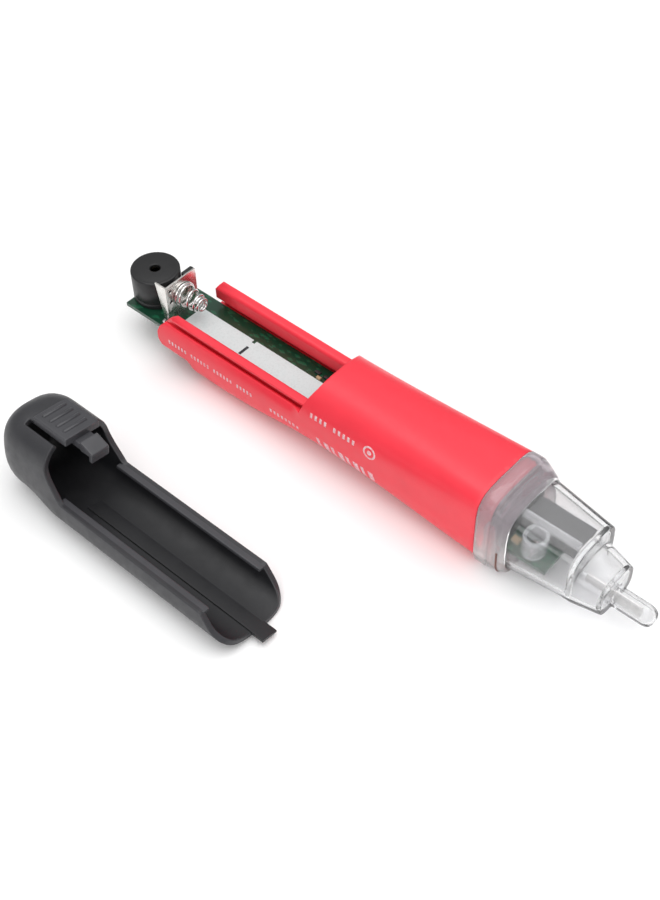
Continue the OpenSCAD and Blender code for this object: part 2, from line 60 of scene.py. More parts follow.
BARREL_HALF_W = 10.2
BARREL_H = 21.6
GROOVE_Z = 13.7
PANEL_TOP_Z = 16.9
BELLY_RISE = 2.8
BELLY_X = 30
BELLY_LEN = 82
BELLY_REAR_X = 25.8
PANEL_REAR_X = 13.2
FAR_RAIL_X = 17.4
MOUTH_X = 61.5
MOUTH_LOW_X = 59.3
COLLAR_X = 108.0
COLLAR_BAND_X = 111.5
SEAM_X = 113.7
COLLAR_FRONT_X = 115.5
CONE_FRONT_X = 130.5
NOSE_FRONT_X = 137.0
TONGUE_TIP_X = 146.4
TONGUE_Z = (2.8, 7.9)
TONGUE_HALF_W = 1.7
WALL = 1.5
LENS_WALL = 1.3
TONGUE_WALL = 0.75
BOARD_Z = 9.2
CELL_Z = 14.5
BUZZER_X = 3.6
BRACKET_X = 12.8
WIRE_R = 0.33
STEPS_PER_TURN = 40

COVER_REAR_X = -9.4
COVER_FRONT_X = 61.4
CUP_HALF_W = 9.4
CUP_ROUNDING = 6.5
CUP_RIM_X = 11.9
CUP_BELLY_X = 6.8
RIM_Z = 13.8
COVER_WALL = 1.4
TAB_LEN = 3.3
WALL_END_LEN = 7.2
FLAP_ROOT_X = -1.4
FLAP_FRONT_X = 9.0
FLAP_HALF_W = 4.7
SLIT_HALF_W = 6.0
# How the loose cover lies: forward, sideways, up, and its roll
COVER_SHIFT = (23.9, -50.1, 11.1)
COVER_ROLL = math.radians(180 - 8.4)

# Points along a section before they are spaced evenly
ARC_SAMPLES = 500
# Grain of the clear tip's mesh
TIP_VOXEL = 0.17
# Distances below which points of a finished piece are one, and an edge has no length
SAME_POINT = 0.003
NO_LENGTH = 0.001

TESTER = Matrix.Translation(ORIGIN) @ Matrix.Scale(MM, 4)
COVER = (
    TESTER
    @ Matrix.Translation(COVER_SHIFT)
    @ Matrix.Rotation(COVER_ROLL, 4, "X")
    @ Matrix.Translation((0, 0, -BARREL_H / 2))
)


# ---- outlines ----
# A section is (half width, bottom, top, height of its widest place, squareness above that
# place, squareness below it). t is a depth below the surface.


def clamp(v):
    return max(0.0, min(1.0, v))


def smooth(a, b, v):
    """A soft step from 0 at a to 1 at b."""
    t = clamp((v - a) / (b - a))
    return t * t * (3 - 2 * t)


def mix(a, b, t):
    return a + (b - a) * t


def section_points(angles, section):
    """Points (y, z) of a section at the given angles, counted from its +y side."""
    half_w, bottom, top, wide_z, square_up, square_down = section
    s, c = np.sin(angles), np.cos(angles)
    n = np.where(s >= 0, square_up, square_down)
    h = np.where(s >= 0, top - wide_z, wide_z - bottom)
    y = half_w * np.sign(c) * np.abs(c) ** (2 / n)
    z = wide_z + h * np.sign(s) * np.abs(s) ** (2 / n)
    return np.stack([y, z], 1)


def angle_at(z, section):
    """Angle between 0 and 90 degrees, up or down, at which the +y side has height z."""
    _, bottom, top, wide_z, square_up, square_down = section
    if z >= wide_z:
        return math.asin(min(1.0, ((z - wide_z) / (top - wide_z)) ** (square_up / 2)))
    return -math.asin(min(1.0, ((wide_z - z) / (wide_z - bottom)) ** (square_down / 2)))


def run_along(arc):
    """Distance along an arc of points, from its first point to each of them."""
    return np.concatenate([[0], np.cumsum(np.linalg.norm(np.diff(arc, axis=0), axis=1))])


def even_arc(section, a0, a1, count):
    """count points at even distances along part of a section."""
    pts = section_points(np.linspace(a0, a1, ARC_SAMPLES), section)
    run = run_along(pts)
    at = np.linspace(0, run[-1], count)
    return np.stack([np.interp(at, run, pts[:, 0]), np.interp(at, run, pts[:, 1])], 1)


def belly(x):
    """Height of the barrel's underside, which arches up off the table."""
    return BELLY_RISE * math.sin(math.pi * clamp((x - BELLY_X) / BELLY_LEN)) ** 2


def barrel_shape(x, t=0.0):
    """Section of the closed barrel."""
    u = clamp((x - MOUTH_X) / (COLLAR_X - MOUTH_X))
    return (BARREL_HALF_W - t, belly(x) + 0.25 * u + t, BARREL_H + 0.8 * u - t, 12.2,
            2.5 + 1.8 * u * u, 3 + 0.6 * u)


def panel_shape(x, t=0.0):
    """Section of the side panels and the belly under the battery bay."""
    return BARREL_HALF_W - t, belly(x) + t, PANEL_TOP_Z - t, 9.2, 2.6, 3


def collar_shape(x, t=0.0):
    """Section of the clear collar, narrower towards the front."""
    u = clamp((x - COLLAR_BAND_X) / (COLLAR_FRONT_X - COLLAR_BAND_X))
    return 10.3 - 0.6 * u - t, 0.2 * u + t, 22.7 - 2.7 * u - t, 11.2, 4.3, 4.6


def cone_shape(x, t=0.0):
    """Section of the clear cone in front of the collar."""
    u = clamp((x - COLLAR_FRONT_X) / (CONE_FRONT_X - COLLAR_FRONT_X))
    return 9 - 1.4 * u - t, 1.35 + 0.95 * u + t, 20.1 - 2.4 * u - t, 10.5, 3.8, 3.2


def nose_shape(x, t=0.0):
    """Section of the low step between the cone and the tongue."""
    u = clamp((x - CONE_FRONT_X) / (NOSE_FRONT_X - CONE_FRONT_X))
    return 7.3 - 1.5 * u - t, 2.3 + 0.2 * u + t, 13.4 - 1.8 * u - t, 7, 2.6, 3


def cup_shape(x, t=0.0):
    """Section of the cover's cup, rounded off towards its rear end."""
    u = clamp((x - COVER_REAR_X) / CUP_ROUNDING)
    k = 1 - math.sqrt(1 - (1 - u) ** 2)
    return CUP_HALF_W - 3.6 * k - t, 1.1 + 4 * k + t, BARREL_H - 4.6 * k - t, 11, 2.8, 2.65


# Section of the cover's long trough, the same all along
TROUGH = (9.9, 8, BARREL_H, 16, 2.7, 2.7)


# ---- mesh tools ----


class Skin:
    """A surface made from grids of points. Grids that meet share their points."""

    STEPS = 2000  # points closer than a millimetre over this are one

    def __init__(self):
        self.points, self.faces, self.found = [], [], {}

    def point(self, p):
        key = tuple(round(float(c) * self.STEPS) for c in p)
        if key not in self.found:
            self.found[key] = len(self.points)
            self.points.append(tuple(float(c) for c in p))
        return self.found[key]

    def grid(self, rows, keep=None, closed=False, looped=False):
        """Faces between rows of points. closed joins each row's ends, looped the outer rows."""
        ids = [[self.point(p) for p in row] for row in rows]
        if looped:
            ids.append(ids[0])
        for k in range(len(ids) - 1):
            a, b = ids[k], ids[k + 1]
            count = len(a) if closed else len(a) - 1
            for i in range(count):
                if keep and not keep(k, i):
                    continue
                j = (i + 1) % len(a)
                face = []
                for v in (a[i], a[j], b[j], b[i]):
                    if v not in face:
                        face.append(v)
                if len(face) > 2:
                    self.faces.append(face)
        return self


def finish_mesh(mesh, outward=True):
    """Turns the faces away from the piece's middle line, and shades them smoothly."""
    bm = bmesh.new()
    bm.from_mesh(mesh)
    bmesh.ops.recalc_face_normals(bm, faces=bm.faces)
    middle = sum((f.calc_center_median() for f in bm.faces), Vector()) / max(1, len(bm.faces))
    lean = sum(f.normal.dot((f.calc_center_median() - middle) * Vector((0, 1, 1))) * f.calc_area()
               for f in bm.faces)
    if (lean < 0) == outward:
        bmesh.ops.reverse_faces(bm, faces=bm.faces)
    bm.to_mesh(mesh)
    bm.free()
    for p in mesh.polygons:
        p.use_smooth = True


def new_object(name, points, faces, place=TESTER, material=None, outward=True):
    mesh = bpy.data.meshes.new(name)
    mesh.from_pydata([tuple(p) for p in points], [], faces)
    mesh.transform(place)
    finish_mesh(mesh, outward)
    obj = bpy.data.objects.new(name, mesh)
    bpy.context.scene.collection.objects.link(obj)
    if material:
        mesh.materials.append(material)
    return obj


def face_out(obj):
    """Turns the faces of a closed piece outwards."""
    bm = bmesh.new()
    bm.from_mesh(obj.data)
    bmesh.ops.recalc_face_normals(bm, faces=bm.faces)
    bm.to_mesh(obj.data)
    bm.free()
    return obj


def capped(name, rows, place=TESTER, material=None):
    """A solid through closed rows of points, its two ends filled."""
    skin = Skin().grid(rows, closed=True)
    first, last = [[skin.point(p) for p in row] for row in (rows[0], rows[-1])]
    skin.faces += [first[::-1], last]
    return face_out(new_object(name, skin.points, skin.faces, place, material))


def circle(count):
    """Angles all round, count of them."""
    return [2 * math.pi * i / count for i in range(count)]


def solidify(obj, thickness, offset=-1.0):
    m = obj.modifiers.new("wall", "SOLIDIFY")
    m.thickness = thickness * MM
    m.offset = offset
    m.use_even_offset = True
    m.use_quality_normals = True
    return obj


def bevel(obj, width, segments=3, angle=38):
    m = obj.modifiers.new("edges", "BEVEL")
    m.width = width * MM
    m.segments = segments
    m.limit_method = "ANGLE"
    m.angle_limit = math.radians(angle)
    m.harden_normals = True
    m.use_clamp_overlap = True
    return obj


def bake(obj):
    """Applies the modifiers, and takes out faces that a bevel has squeezed to nothing."""
    graph = bpy.context.evaluated_depsgraph_get()
    mesh = bpy.data.meshes.new_from_object(obj.evaluated_get(graph))
    obj.modifiers.clear()
    bm = bmesh.new()
    bm.from_mesh(mesh)
    bmesh.ops.remove_doubles(bm, verts=bm.verts, dist=SAME_POINT * MM)
    bmesh.ops.dissolve_degenerate(bm, edges=bm.edges, dist=NO_LENGTH * MM)
    bm.to_mesh(mesh)
    bm.free()
    obj.data = mesh
    return obj


def boolean(obj, other, operation):
    """Adds or cuts with another object, which is used up."""
    m = obj.modifiers.new(operation, "BOOLEAN")
    m.operation = operation
    m.object = other
    m.solver = "EXACT"
    bake(obj)
    bpy.data.objects.remove(other)


def join(name, parts):
    """One object from several, their modifiers applied first."""
    for p in parts:
        bake(p)
    slots, bm = [], bmesh.new()
    for p in parts:
        shift = []
        for mat in p.data.materials:
            if mat not in slots:
                slots.append(mat)
            shift.append(slots.index(mat))
        before = len(bm.faces)
        bm.from_mesh(p.data)
        bm.faces.ensure_lookup_table()
        for f in bm.faces[before:]:
            f.material_index = shift[f.material_index] if shift else 0
    mesh = bpy.data.meshes.new(name)
    bm.to_mesh(mesh)
    bm.free()
    for mat in slots:
        mesh.materials.append(mat)
    obj = bpy.data.objects.new(name, mesh)
    bpy.context.scene.collection.objects.link(obj)
    for p in parts:
        bpy.data.objects.remove(p)
    return obj


def sweep(name, outline, x0, x1, material, place=TESTER, r=0.2, count=2):
    """A bar along X. outline is (y, z) points; x0 and x1 may be functions of (y, z)."""
    start = x0 if callable(x0) else (lambda y, z: x0)
    end = x1 if callable(x1) else (lambda y, z: x1)
    n = len(outline)
    points = [
        (mix(start(y, z), end(y, z), k / count), y, z)
        for k in range(count + 1)
        for y, z in outline
    ]
    faces = [
        (k * n + i, k * n + (i + 1) % n, (k + 1) * n + (i + 1) % n, (k + 1) * n + i)
        for k in range(count)
        for i in range(n)
    ]
    faces += [tuple(range(n))[::-1], tuple(count * n + i for i in range(n))]
    obj = face_out(new_object(name, points, faces, place, material))
    return bevel(obj, r, 3, 30) if r else obj


def rounded(corners, radii, steps=5):
    """A closed outline with its corners rounded."""
    out, n = [], len(corners)
    for i in range(n):
        p = Vector(corners[i])
        a, b = Vector(corners[i - 1]) - p, Vector(corners[(i + 1) % n]) - p
        r = radii[i] if isinstance(radii, (list, tuple)) else radii
        if r <= 0:
            out.append(tuple(p))
            continue
        half = a.angle(b) / 2
        cut = min(r / math.tan(half), a.length * 0.49, b.length * 0.49)
        p0, p1 = p + a.normalized() * cut, p + b.normalized() * cut
        for k in range(steps + 1):
            t = k / steps
            out.append(tuple((1 - t) ** 2 * p0 + 2 * t * (1 - t) * p + t * t * p1))
    return out


def block(name, low, high, material, place=TESTER, r=0.2):
    """A box between two corners."""
    corners = [(low[1], low[2]), (high[1], low[2]), (high[1], high[2]), (low[1], high[2])]
    return sweep(name, corners, low[0], high[0], material, place, r, 1)


def lathe(name, profile, centre, material, place=TESTER, count=96):
    """A closed outline (radius, height) turned about an upright line through centre."""
    rows = [[Vector((r * math.cos(a), r * math.sin(a), h)) + Vector(centre) for a in circle(count)]
            for r, h in profile]
    skin = Skin().grid(rows, closed=True, looped=True)
    return face_out(new_object(name, skin.points, skin.faces, place, material))


def tube(name, path, radius, material, place=TESTER, sides=14):
    """A round wire through the points of path."""
    pts = [Vector(p) for p in path]
    rows = []
    side = None
    for k, p in enumerate(pts):
        d = (pts[min(k + 1, len(pts) - 1)] - pts[max(k - 1, 0)]).normalized()
        side = d.orthogonal() if side is None else side - d * side.dot(d)
        side.normalize()
        up = d.cross(side)
        rows.append([p + radius * (side * math.cos(a) + up * math.sin(a)) for a in circle(sides)])
    return capped(name, rows, place, material)


def dressed(node, material, r, segments=2):
    """A copy of a CAD node with rounded edges, which stands for it."""
    mesh = frame["nodes"][node].data.copy()
    bm = bmesh.new()
    bm.from_mesh(mesh)
    bmesh.ops.remove_doubles(bm, verts=bm.verts, dist=2e-6)
    bmesh.ops.dissolve_limit(bm, angle_limit=math.radians(1), verts=bm.verts, edges=bm.edges)
    bmesh.ops.recalc_face_normals(bm, faces=bm.faces)
    bm.to_mesh(mesh)
    bm.free()
    mesh.materials.clear()
    mesh.materials.append(material)
    for p in mesh.polygons:
        p.use_smooth = True
    obj = bpy.data.objects.new(node + "_detail", mesh)
    bpy.context.scene.collection.objects.link(obj)
    bevel(obj, r, segments, 35)
    return place_on(obj, bodies_of[node], node)


bodies_of = {
    n: body for body, members in frame["record"]["behaviour"]["bodies"].items() for n in members
}


def place_on(obj, body, *nodes):
    """Fixes an object to a body. It stands for the CAD nodes, which it hides."""
    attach(obj, body)
    if nodes:
        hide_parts(*nodes)
    return obj


# ---- materials ----

RED = (0.87, 0.034, 0.058)
MASK_GREEN = (0.012, 0.13, 0.06)
PLANE_GREEN = (0.004, 0.045, 0.022)
TRACE_GREEN = (0.008, 0.095, 0.045)
TRACES_PER_METRE = (420, 900, 1)
CLEAR_SHADOW = (0.86, 0.86, 0.87)


def shader(name, color, rough, metallic=0.0, **sockets):
    """A plain material, its node tree and its Principled shader."""
    m = bpy.data.materials.new(name)
    m.use_nodes = True
    tree = m.node_tree
    b = tree.nodes["Principled BSDF"]
    b.inputs["Base Color"].default_value = (*color, 1)
    b.inputs["Roughness"].default_value = rough
    b.inputs["Metallic"].default_value = metallic
    for key, value in sockets.items():
        b.inputs[key.replace("_", " ")].default_value = value
    return m, tree, b


def noise(tree, scale, detail=3.0, stretch=(1, 1, 1), rough=0.55):
    """A noise texture in the object's own frame; scale is per metre."""
    coord = tree.nodes.new("ShaderNodeTexCoord")
    mapping = tree.nodes.new("ShaderNodeMapping")
    mapping.inputs["Scale"].default_value = stretch
    tex = tree.nodes.new("ShaderNodeTexNoise")
    tex.inputs["Scale"].default_value = scale
    tex.inputs["Detail"].default_value = detail
    tex.inputs["Roughness"].default_value = rough
    tree.links.new(coord.outputs["Object"], mapping.inputs["Vector"])
    tree.links.new(mapping.outputs["Vector"], tex.inputs["Vector"])
    return tex


def ramp(tree, source, stops):
    """Colours set by a value, as stops (value, colour)."""
    r = tree.nodes.new("ShaderNodeValToRGB")
    while len(r.color_ramp.elements) < len(stops):
        r.color_ramp.elements.new(0.5)
    for e, (pos, col) in zip(r.color_ramp.elements, stops):
        e.position = pos
        e.color = (*col, 1) if len(col) == 3 else col
    tree.links.new(source, r.inputs["Fac"])
    return r


def bump(tree, b, sources, distance=0.00004):
    """Adds height textures, each (socket, strength), to the normal."""
    previous = None
    for height, strength in sources:
        n = tree.nodes.new("ShaderNodeBump")
        n.inputs["Strength"].default_value = strength
        n.inputs["Distance"].default_value = distance
        tree.links.new(height, n.inputs["Height"])
        if previous:
            tree.links.new(previous.outputs["Normal"], n.inputs["Normal"])
        previous = n
    tree.links.new(previous.outputs["Normal"], b.inputs["Normal"])


def scaled(color, f):
    return tuple(min(1.0, c * f) for c in color)


def moulded(name, color, rough, grain=5200, depth=0.25, spread=0.06, rough_spread=0.08, **sockets):
    """Moulded plastic: fine spark texture, slight clouding and rubbed patches."""
    m, tree, b = shader(name, color, rough, **sockets)
    cloud = noise(tree, 160, 4)
    tone = ramp(tree, cloud.outputs["Fac"],
                [(0.3, scaled(color, 1 - spread)), (0.7, scaled(color, 1 + spread))])
    tree.links.new(tone.outputs["Color"], b.inputs["Base Color"])
    rub = noise(tree, 420, 5)
    gloss = ramp(tree, rub.outputs["Fac"], [(0.35, (rough - rough_spread,) * 3),
                                            (0.7, (rough + rough_spread,) * 3)])
    tree.links.new(gloss.outputs["Color"], b.inputs["Roughness"])
    fine = noise(tree, grain, 2)
    soft = noise(tree, 260, 2)
    bump(tree, b, [(fine.outputs["Fac"], depth), (soft.outputs["Fac"], 0.12)])
    return m


def metal(name, color, rough, stretch=(1, 1, 12), grain=900, depth=0.15):
    """Plated sheet or wire: drawn lines, dull spots."""
    m, tree, b = shader(name, color, rough, 1.0)
    drawn = noise(tree, grain, 4, stretch)
    gloss = ramp(tree, drawn.outputs["Fac"],
                 [(0.3, (rough * 0.7,) * 3), (0.75, (rough * 1.5,) * 3)])
    tree.links.new(gloss.outputs["Color"], b.inputs["Roughness"])
    spots = noise(tree, 700, 5)
    tone = ramp(tree, spots.outputs["Fac"], [(0.35, scaled(color, 0.86)), (0.62, color)])
    tree.links.new(tone.outputs["Color"], b.inputs["Base Color"])
    bump(tree, b, [(drawn.outputs["Fac"], depth)], 0.00002)
    return m


def clear(name, tint, rough, ior=1.47, clarity=1.0, low_reflection_tint=None):
    """Clear moulded plastic with rubbed gloss. It lets lamps through. Given a low tint, its colour
    turns to that towards the table, a painted reflection of the white table; without one it has
    faint flow lines."""
    m, tree, b = shader(name, tint, rough, Transmission_Weight=clarity, IOR=ior)
    haze = noise(tree, 300, 4, (1, 2, 2))
    gloss = ramp(tree, haze.outputs["Fac"],
                 [(0.35, (rough * 0.6,) * 3), (0.75, (rough * 1.7,) * 3)])
    tree.links.new(gloss.outputs["Color"], b.inputs["Roughness"])
    if low_reflection_tint:
        coord = tree.nodes.new("ShaderNodeTexCoord")
        split = tree.nodes.new("ShaderNodeSeparateXYZ")
        height = tree.nodes.new("ShaderNodeMath")
        height.operation = "MULTIPLY"
        height.inputs[1].default_value = 1 / (BARREL_H * MM)
        tree.links.new(coord.outputs["Object"], split.inputs["Vector"])
        tree.links.new(split.outputs["Z"], height.inputs[0])
        # lighter towards the table: painted reflection of the white table
        tone = ramp(tree, height.outputs["Value"], [(0.35, low_reflection_tint), (0.75, tint)])
    else:
        tone = ramp(tree, haze.outputs["Fac"], [(0.3, scaled(tint, 0.95)), (0.7, tint)])
        flow = noise(tree, 220, 2, (0.6, 2, 2))
        bump(tree, b, [(flow.outputs["Fac"], 0.25)], 0.00012)
    tree.links.new(tone.outputs["Color"], b.inputs["Base Color"])
    shade = tree.nodes.new("ShaderNodeBsdfTransparent")
    shade.inputs["Color"].default_value = (*CLEAR_SHADOW, 1)
    ray = tree.nodes.new("ShaderNodeLightPath")
    both = tree.nodes.new("ShaderNodeMixShader")
    tree.links.new(ray.outputs["Is Shadow Ray"], both.inputs["Fac"])
    tree.links.new(b.outputs["BSDF"], both.inputs[1])
    tree.links.new(shade.outputs["BSDF"], both.inputs[2])
    tree.links.new(both.outputs["Shader"], tree.nodes["Material Output"].inputs["Surface"])
    return m


def board_mask():
    """Solder mask over copper traces and a ground plane."""
    m, tree, b = shader("board_mask", MASK_GREEN, 0.28, Coat_Weight=0.3)
    coord = tree.nodes.new("ShaderNodeTexCoord")
    mapping = tree.nodes.new("ShaderNodeMapping")
    mapping.inputs["Scale"].default_value = TRACES_PER_METRE
    tree.links.new(coord.outputs["Object"], mapping.inputs["Vector"])
    cells = tree.nodes.new("ShaderNodeTexVoronoi")
    cells.distance = "MANHATTAN"
    cells.feature = "F1"
    cells.inputs["Scale"].default_value = 1.0
    tree.links.new(mapping.outputs["Vector"], cells.inputs["Vector"])
    track = ramp(tree, cells.outputs["Distance"],
                 [(0.0, (1, 1, 1)), (0.46, (1, 1, 1)), (0.5, (0, 0, 0))])
    tone = ramp(tree, track.outputs["Color"], [(0.0, PLANE_GREEN), (1.0, TRACE_GREEN)])
    tree.links.new(tone.outputs["Color"], b.inputs["Base Color"])
    weave = noise(tree, 2600, 3, (1, 1, 1))
    bump(tree, b, [(track.outputs["Color"], 0.5), (weave.outputs["Fac"], 0.12)], 0.00004)
    return m


def ink(name, color, ground, wear=0.0):
    """Screen print with a rough edge to its gloss and thin places that show the ground."""
    m, tree, b = shader(name, color, 0.5)
    blots = noise(tree, 2100, 4)
    thin = mix(np.array(ground), np.array(color), 1 - wear).tolist()
    tone = ramp(tree, blots.outputs["Fac"],
                [(max(0.0, 0.2 + wear * 0.25), thin), (0.5 + wear * 0.1, color)])
    tree.links.new(tone.outputs["Color"], b.inputs["Base Color"])
    bump(tree, b, [(blots.outputs["Fac"], 0.3)], 0.00002)
    return m


# Grain of the cover and its flap
MATT = {"grain": 3800, "depth": 0.42, "spread": 0.10, "rough_spread": 0.07}

red = moulded("red_plastic", RED, 0.36, grain=4200, depth=0.10, spread=0.03, rough_spread=0.05,
              Specular_IOR_Level=0.5)
grey = moulded("cover_plastic", (0.030, 0.030, 0.034), 0.44, **MATT)
# the cover's inside is its outside plastic made darker: painted shade of the deep cup
painted_shade_grey = moulded("cover_inside_painted_shade", (0.0115, 0.0115, 0.0135), 0.48, **MATT)
flap_grey = moulded("flap_plastic", (0.050, 0.050, 0.056), 0.42, **MATT)
buzzer_black = moulded("buzzer_plastic", (0.008, 0.008, 0.009), 0.42, grain=3000, depth=0.35,
                       spread=0.15, rough_spread=0.08)
resin = moulded("black_resin", (0.018, 0.019, 0.019), 0.5, grain=4200, depth=0.45, spread=0.2,
                rough_spread=0.1)
smoke = moulded("divider_plastic", (0.020, 0.020, 0.023), 0.42, grain=3000, depth=0.25, spread=0.1,
                rough_spread=0.06)
rubber = moulded("seal_rubber", (0.16, 0.075, 0.06), 0.65, grain=3500, depth=0.4, spread=0.15,
                 rough_spread=0.08)
lens = clear("clear_lens", (0.90, 0.90, 0.905), 0.11, clarity=0.98)
# the collar turns lighter towards the table, a painted reflection of the white table
frost = clear("clear_collar", (0.58, 0.53, 0.56), 0.12, clarity=0.74, low_reflection_tint=(0.93, 0.90, 0.90))
pipe_clear = clear("clear_pipe", (0.90, 0.90, 0.92), 0.14, clarity=0.82)
led_clear = clear("led_resin", (0.97, 0.80, 0.80), 0.10, ior=1.5)
mask = board_mask()
white_ink = ink("white_ink", (0.64, 0.71, 0.71), (0.42, 0.48, 0.47), wear=0.3)
black_ink = ink("black_ink", (0.012, 0.014, 0.02), (0.1, 0.1, 0.1), wear=0.2)
print_ink = ink("side_print_ink", (0.84, 0.62, 0.65), (0.86, 0.16, 0.20), wear=0.7)
nickel = metal("nickel_plate", (0.82, 0.80, 0.77), 0.22)
wire = metal("spring_wire", (0.84, 0.83, 0.82), 0.16, stretch=(1, 1, 1), grain=1500)
tin = metal("tinned_lead", (0.78, 0.78, 0.79), 0.30, stretch=(1, 1, 1), grain=2200, depth=0.35)
brass = metal("brass_disc", (0.78, 0.60, 0.26), 0.30)
pale_foil = metal("sensor_foil", (0.86, 0.85, 0.84), 0.45)
ceramic = moulded("ceramic_chip", (0.42, 0.30, 0.17), 0.4, grain=5000, depth=0.2, spread=0.12,
                  rough_spread=0.06)
screw_steel = metal("screw_steel", (0.62, 0.62, 0.63), 0.34, stretch=(1, 1, 1), grain=2600,
                    depth=0.4)


# ---- barrel ----

LOWER_COLS, UPPER_COLS = 72, 56
# Rear end of the panels seen from the side, (x, z), with the radius of each corner
PANEL_END = [(4, -2), (BELLY_REAR_X, -2), (25.1, 2.6), (23.7, 6.4), (14.8, 6.55), (13.85, 8.3),
             (13.9, 10.4), (14.6, 12.2), (16.0, 13.7), (17.6, 14.6), (18.8, 17), (4, 17)]
PANEL_END_RADII = [0, 0, 2.0, 1.3, 1.0, 0.8, 0.8, 0.9, 0.9, 0.6, 0, 0]
FAR_END = [(4, 6), (FAR_RAIL_X + 0.6, 6), (FAR_RAIL_X, 8), (FAR_RAIL_X, 17), (4, 17)]
FAR_END_RADII = [0, 0.4, 0.8, 0, 0]
LEDGE_REAR_X = 16.5
# Board posts inside the barrel, (x, y)
POSTS = ((68, -5.3), (100, 5.3))
# Half width of what a cut goes through, beyond the barrel on both sides
CUT_HALF_W = 15
# Where the panels start to swell out to the closed barrel: low down, and along the rails
SWELL_LOW_X, SWELL_RAIL_X = 40, 56.5
SWELL_LOW_Z = 7.5
# The barrel's mouth leans back from its crown to the rails: heights, and x at them
MOUTH_HEIGHTS = (GROOVE_Z, 14.3, 17.1, 18.6, 20.4, BARREL_H)
MOUTH_EDGE_X = (MOUTH_LOW_X, 59.5, 60.5, 61.1, 62.0, 62.4)


def cut_away(obj, outline, y0):
    """Cuts away what lies inside an outline seen from the side, from y0 to the far side."""
    n = len(outline)
    points = [(x, y, z) for y in (y0, CUT_HALF_W) for x, z in outline]
    faces = [tuple(range(n)), tuple(range(2 * n - 1, n - 1, -1))]
    faces += [(i, n + i, n + (i + 1) % n, (i + 1) % n) for i in range(n)]
    boolean(obj, new_object("cut_away", points, faces), "DIFFERENCE")


def cut_rear(obj):
    """The side panels end in a slope over a level lower edge that steps down to the belly, and
    the far one ends squarely a little further forward."""
    cut_away(obj, rounded(PANEL_END, PANEL_END_RADII), -CUT_HALF_W)
    cut_away(obj, rounded(FAR_END, FAR_END_RADII), 0.5)
    return obj


def barrel_lower(x, t=0.0):
    """From the near rail line round the belly to the far one. The panels swell out to the
    closed barrel, late along the rails and slowly lower down."""
    arcs = []
    for shape in (panel_shape(x, t), barrel_shape(x, t)):
        a = angle_at(GROOVE_Z, shape)
        arcs.append(even_arc(shape, math.pi - a, 2 * math.pi + a, LOWER_COLS + 1))
    high = np.clip((arcs[0][:, 1] - SWELL_LOW_Z) / (GROOVE_Z - 1 - SWELL_LOW_Z), 0, 1)[:, None]
    swell = mix(smooth(SWELL_LOW_X, MOUTH_LOW_X, x), smooth(SWELL_RAIL_X, MOUTH_LOW_X, x), high)
    return mix(arcs[0], arcs[1], swell)


def barrel_upper(x, t=0.0):
    """From the far rail line over the crown to the near one."""
    shape = barrel_shape(x, t)
    a = angle_at(GROOVE_Z, shape)
    return even_arc(shape, a, math.pi - a, UPPER_COLS + 1)


def ring_rows(shape_at, stations, count=140):
    """Closed rings at stations (x, t)."""
    rows = []
    for x, t in stations:
        arc = even_arc(shape_at(x, t), 0, 2 * math.pi, count + 1)[:-1]
        rows.append([(x, y, z) for y, z in arc])
    return rows


def lower_row(x):
    return [(x, y, z) for y, z in barrel_lower(x)]


def barrel_skin():
    """Panels and belly behind the mouth, then the closed barrel below and above the rail line."""
    rows = [lower_row(x) for x in np.linspace(PANEL_REAR_X, MOUTH_LOW_X, 48)]
    shares = [0, 0.01, 0.025] + list(np.linspace(0.045, 1, 44))
    lower = [lower_row(mix(MOUTH_LOW_X, COLLAR_X, v)) for v in shares]
    rims = [float(np.interp(z, MOUTH_HEIGHTS, MOUTH_EDGE_X)) for y, z in barrel_upper(MOUTH_X)]
    upper = []
    for v in shares:
        xs = [mix(rim, COLLAR_X, v) for rim in rims]
        upper.append([(x, *barrel_upper(x)[i]) for i, x in enumerate(xs)])
    skin = Skin().grid(rows).grid(lower).grid(upper)
    obj = new_object("barrel_skin", skin.points, skin.faces, material=red)
    # the panels are thinner along the rails
    thin = {skin.point(row[i]) for row in rows[:-2] for i in (0, 1, 2, -3, -2, -1)}
    group = obj.vertex_groups.new(name="full")
    group.add([i for i in range(len(skin.points)) if i not in thin], 1.0, "REPLACE")
    solidify(obj, WALL)
    obj.modifiers["wall"].vertex_group = "full"
    obj.modifiers["wall"].thickness_vertex_group = 0.5
    return bevel(cut_rear(obj), 0.25, 3, 50)


def mirrored(outline, side):
    """The outline for the +y side, or turned over for the -y side."""
    return [(y * side, z) for y, z in outline][::side]


def rail_parts():
    """Each rail is a head on a neck, with a shoulder outside that the cover's wall meets."""
    head = rounded([(6.3, 11.3), (6.3, 15.5), (8.8, 15.5), (8.8, 14.7), (7.7, 14.7), (7.7, 11.3)],
                   [0.7, 1.15, 0.5, 0.3, 0.12, 0.3], 8)
    neck = rounded([(8.1, 9.6), (8.1, 12.3), (8.9, 12.3), (8.9, 9.6)], 0.1)
    shoulder = rounded([(7.2, 11.5), (7.2, 12.2), (9.2, 12.2), (8.9, 11.5)], [0, 0.12, 0.3, 0])
    parts = []
    for side, tag in ((-1, "near"), (1, "far")):
        for outline, label, end in ((head, "head", MOUTH_X + 0.6), (neck, "neck", MOUTH_X + 0.4),
                                    (shoulder, "shoulder", MOUTH_X + 0.5)):
            part = sweep(f"rail_{label}_{tag}", mirrored(outline, side), PANEL_REAR_X, end, red,
                         r=0.1, count=4)
            parts.append(bevel(cut_rear(part), 0.22, 3, 50))
    return parts


def inner_ledges():
    """Ledges along both sides, which carry the board."""
    parts = []
    for side in (-1, 1):
        ledge = rounded([(5.9 * side, 7.2), (5.9 * side, 8.15), (8.9 * side, 8.15),
                         (8.7 * side, 6.6)], 0.15)
        parts.append(sweep("ledge", ledge[::side], LEDGE_REAR_X, COLLAR_X - 4, red, r=0.12))
    return parts


